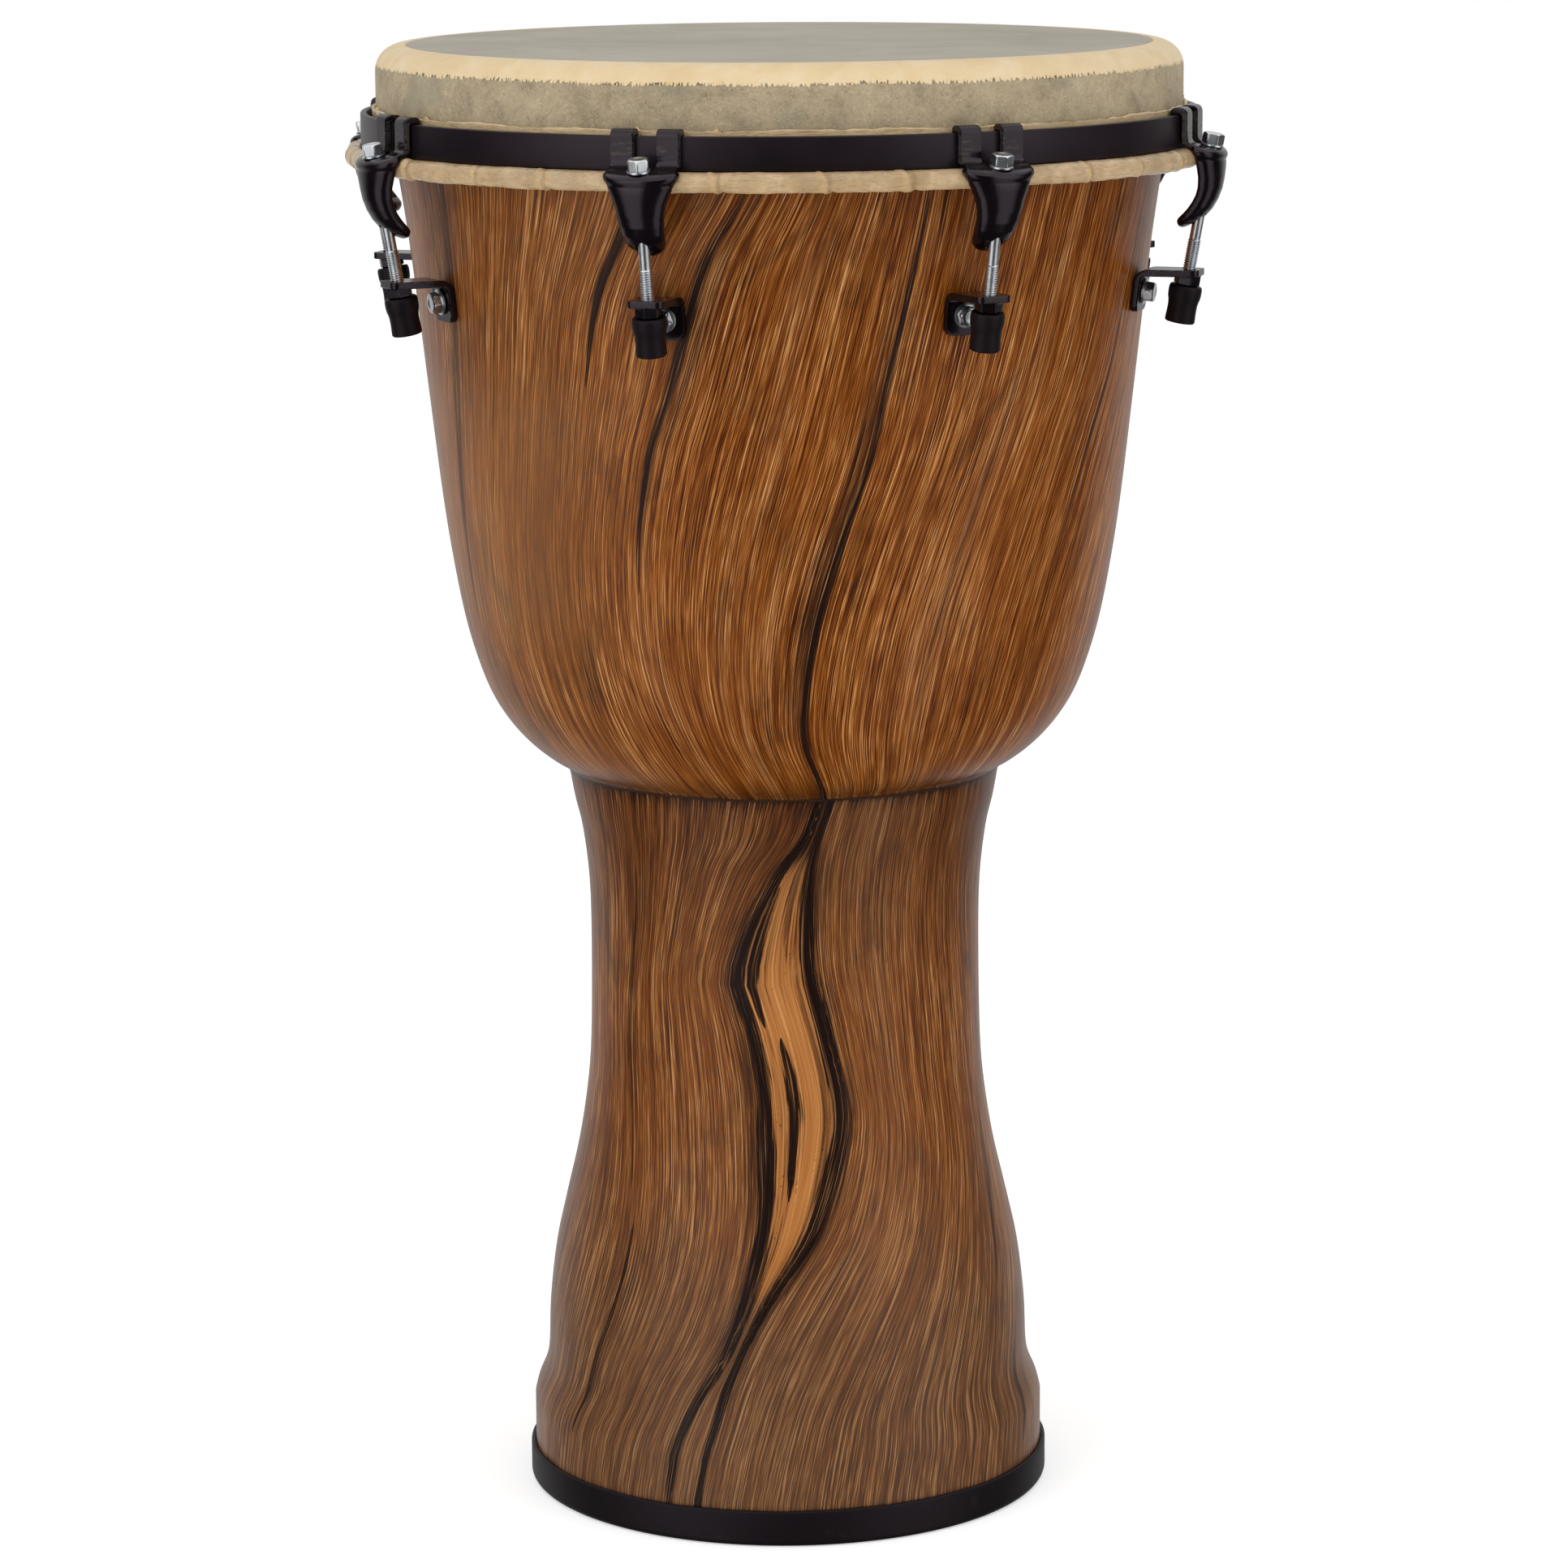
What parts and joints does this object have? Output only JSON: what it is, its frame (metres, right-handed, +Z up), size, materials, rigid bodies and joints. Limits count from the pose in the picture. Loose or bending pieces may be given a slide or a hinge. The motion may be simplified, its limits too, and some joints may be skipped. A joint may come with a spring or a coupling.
{
  "type": "djembe",
  "caption": "Goblet-shaped hand drum with a natural skin head tuned by clawed bolts, brackets on a wood-look shell and a rubber foot ring.",
  "frame": {"origin": "centre of the foot ring's underside, on the drum's axis at floor level", "axes": "+Z up along the drum's axis; -Y is the front, midway between stations 1 and 2; stations are numbered from 22.5 degrees towards -X of the front, on towards +X, every 45 degrees"},
  "size_m": [0.379, 0.379, 0.648],
  "materials": {
    "painted_shell": "satin moulded shell with a streaked brown wood-grain paint",
    "black_rubber": "matt black rubber",
    "natural_skin": "dry natural hide, grey-brown playing surface and cream edge",
    "black_steel": "satin black powder coat",
    "zinc_steel": "bright zinc plate",
    "plain_steel": "plain steel rod"
  },
  "bodies": {
    "drum_shell": {"shell": "painted_shell", "foot_ring": "black_rubber", "drumhead_skin": "natural_skin", "lug_bracket_1": "black_steel", "lug_bracket_2": "black_steel", "lug_bracket_3": "black_steel", "lug_bracket_4": "black_steel", "lug_bracket_5": "black_steel", "lug_bracket_6": "black_steel", "lug_bracket_7": "black_steel", "lug_bracket_8": "black_steel", "lug_bolt_1": "zinc_steel", "lug_bolt_2": "zinc_steel", "lug_bolt_3": "zinc_steel", "lug_bolt_4": "zinc_steel", "lug_bolt_5": "zinc_steel", "lug_bolt_6": "zinc_steel", "lug_bolt_7": "zinc_steel", "lug_bolt_8": "zinc_steel", "bolt_cap_1": "black_rubber", "bolt_cap_2": "black_rubber", "bolt_cap_3": "black_rubber", "bolt_cap_4": "black_rubber", "bolt_cap_5": "black_rubber", "bolt_cap_6": "black_rubber", "bolt_cap_7": "black_rubber", "bolt_cap_8": "black_rubber"},
    "tension_hoop": {"skin_wrap": "natural_skin", "flesh_hoop": "plain_steel", "counter_hoop": "black_steel", "claw_1": "black_steel", "claw_2": "black_steel", "claw_3": "black_steel", "claw_4": "black_steel", "claw_5": "black_steel", "claw_6": "black_steel", "claw_7": "black_steel", "claw_8": "black_steel"},
    "washer_body_1": {"washer_1": "zinc_steel"},
    "bolt_body_1": {"tension_bolt_1": "zinc_steel"},
    "washer_body_2": {"washer_2": "zinc_steel"},
    "bolt_body_2": {"tension_bolt_2": "zinc_steel"},
    "washer_body_3": {"washer_3": "zinc_steel"},
    "bolt_body_3": {"tension_bolt_3": "zinc_steel"},
    "washer_body_4": {"washer_4": "zinc_steel"},
    "bolt_body_4": {"tension_bolt_4": "zinc_steel"},
    "washer_body_5": {"washer_5": "zinc_steel"},
    "bolt_body_5": {"tension_bolt_5": "zinc_steel"},
    "washer_body_6": {"washer_6": "zinc_steel"},
    "bolt_body_6": {"tension_bolt_6": "zinc_steel"},
    "washer_body_7": {"washer_7": "zinc_steel"},
    "bolt_body_7": {"tension_bolt_7": "zinc_steel"},
    "washer_body_8": {"washer_8": "zinc_steel"},
    "bolt_body_8": {"tension_bolt_8": "zinc_steel"}
  },
  "joints": [
    {"name": "hoop_slide", "type": "slide", "parent": "drum_shell", "child": "tension_hoop", "axis": [0, 0, -1], "range_m": [-0.004, 0.003]},
    {"name": "bolt_slide_1", "type": "slide", "parent": "drum_shell", "child": "washer_body_1", "axis": [0.0684, 0.1652, -0.9839], "range_m": [-0.004, 0.003]},
    {"name": "bolt_turn_1", "type": "hinge", "parent": "washer_body_1", "child": "bolt_body_1", "pos_m": [-0.07404, -0.17875, 0.6052], "axis": [-0.0684, -0.1652, 0.9839], "range_deg": [-1080, 1440]},
    {"name": "bolt_slide_2", "type": "slide", "parent": "drum_shell", "child": "washer_body_2", "axis": [-0.0684, 0.1652, -0.9839], "range_m": [-0.004, 0.003]},
    {"name": "bolt_turn_2", "type": "hinge", "parent": "washer_body_2", "child": "bolt_body_2", "pos_m": [0.07404, -0.17875, 0.6052], "axis": [0.0684, -0.1652, 0.9839], "range_deg": [-1080, 1440]},
    {"name": "bolt_slide_3", "type": "slide", "parent": "drum_shell", "child": "washer_body_3", "axis": [-0.1652, 0.0684, -0.9839], "range_m": [-0.004, 0.003]},
    {"name": "bolt_turn_3", "type": "hinge", "parent": "washer_body_3", "child": "bolt_body_3", "pos_m": [0.17875, -0.07404, 0.6052], "axis": [0.1652, -0.0684, 0.9839], "range_deg": [-1080, 1440]},
    {"name": "bolt_slide_4", "type": "slide", "parent": "drum_shell", "child": "washer_body_4", "axis": [-0.1652, -0.0684, -0.9839], "range_m": [-0.004, 0.003]},
    {"name": "bolt_turn_4", "type": "hinge", "parent": "washer_body_4", "child": "bolt_body_4", "pos_m": [0.17875, 0.07404, 0.6052], "axis": [0.1652, 0.0684, 0.9839], "range_deg": [-1080, 1440]},
    {"name": "bolt_slide_5", "type": "slide", "parent": "drum_shell", "child": "washer_body_5", "axis": [-0.0684, -0.1652, -0.9839], "range_m": [-0.004, 0.003]},
    {"name": "bolt_turn_5", "type": "hinge", "parent": "washer_body_5", "child": "bolt_body_5", "pos_m": [0.07404, 0.17875, 0.6052], "axis": [0.0684, 0.1652, 0.9839], "range_deg": [-1080, 1440]},
    {"name": "bolt_slide_6", "type": "slide", "parent": "drum_shell", "child": "washer_body_6", "axis": [0.0684, -0.1652, -0.9839], "range_m": [-0.004, 0.003]},
    {"name": "bolt_turn_6", "type": "hinge", "parent": "washer_body_6", "child": "bolt_body_6", "pos_m": [-0.07404, 0.17875, 0.6052], "axis": [-0.0684, 0.1652, 0.9839], "range_deg": [-1080, 1440]},
    {"name": "bolt_slide_7", "type": "slide", "parent": "drum_shell", "child": "washer_body_7", "axis": [0.1652, -0.0684, -0.9839], "range_m": [-0.004, 0.003]},
    {"name": "bolt_turn_7", "type": "hinge", "parent": "washer_body_7", "child": "bolt_body_7", "pos_m": [-0.17875, 0.07404, 0.6052], "axis": [-0.1652, 0.0684, 0.9839], "range_deg": [-1080, 1440]},
    {"name": "bolt_slide_8", "type": "slide", "parent": "drum_shell", "child": "washer_body_8", "axis": [0.1652, 0.0684, -0.9839], "range_m": [-0.004, 0.003]},
    {"name": "bolt_turn_8", "type": "hinge", "parent": "washer_body_8", "child": "bolt_body_8", "pos_m": [-0.17875, -0.07404, 0.6052], "axis": [-0.1652, -0.0684, 0.9839], "range_deg": [-1080, 1440]}
  ],
  "couplings": [
    {"joint": "bolt_slide_1", "follows": "hoop_slide", "ratio": 0.98389},
    {"joint": "bolt_turn_1", "follows": "hoop_slide", "rad_per_m": -6181.9},
    {"joint": "bolt_slide_2", "follows": "hoop_slide", "ratio": 0.98389},
    {"joint": "bolt_turn_2", "follows": "hoop_slide", "rad_per_m": -6181.9},
    {"joint": "bolt_slide_3", "follows": "hoop_slide", "ratio": 0.98389},
    {"joint": "bolt_turn_3", "follows": "hoop_slide", "rad_per_m": -6181.9},
    {"joint": "bolt_slide_4", "follows": "hoop_slide", "ratio": 0.98389},
    {"joint": "bolt_turn_4", "follows": "hoop_slide", "rad_per_m": -6181.9},
    {"joint": "bolt_slide_5", "follows": "hoop_slide", "ratio": 0.98389},
    {"joint": "bolt_turn_5", "follows": "hoop_slide", "rad_per_m": -6181.9},
    {"joint": "bolt_slide_6", "follows": "hoop_slide", "ratio": 0.98389},
    {"joint": "bolt_turn_6", "follows": "hoop_slide", "rad_per_m": -6181.9},
    {"joint": "bolt_slide_7", "follows": "hoop_slide", "ratio": 0.98389},
    {"joint": "bolt_turn_7", "follows": "hoop_slide", "rad_per_m": -6181.9},
    {"joint": "bolt_slide_8", "follows": "hoop_slide", "ratio": 0.98389},
    {"joint": "bolt_turn_8", "follows": "hoop_slide", "rad_per_m": -6181.9}
  ]
}
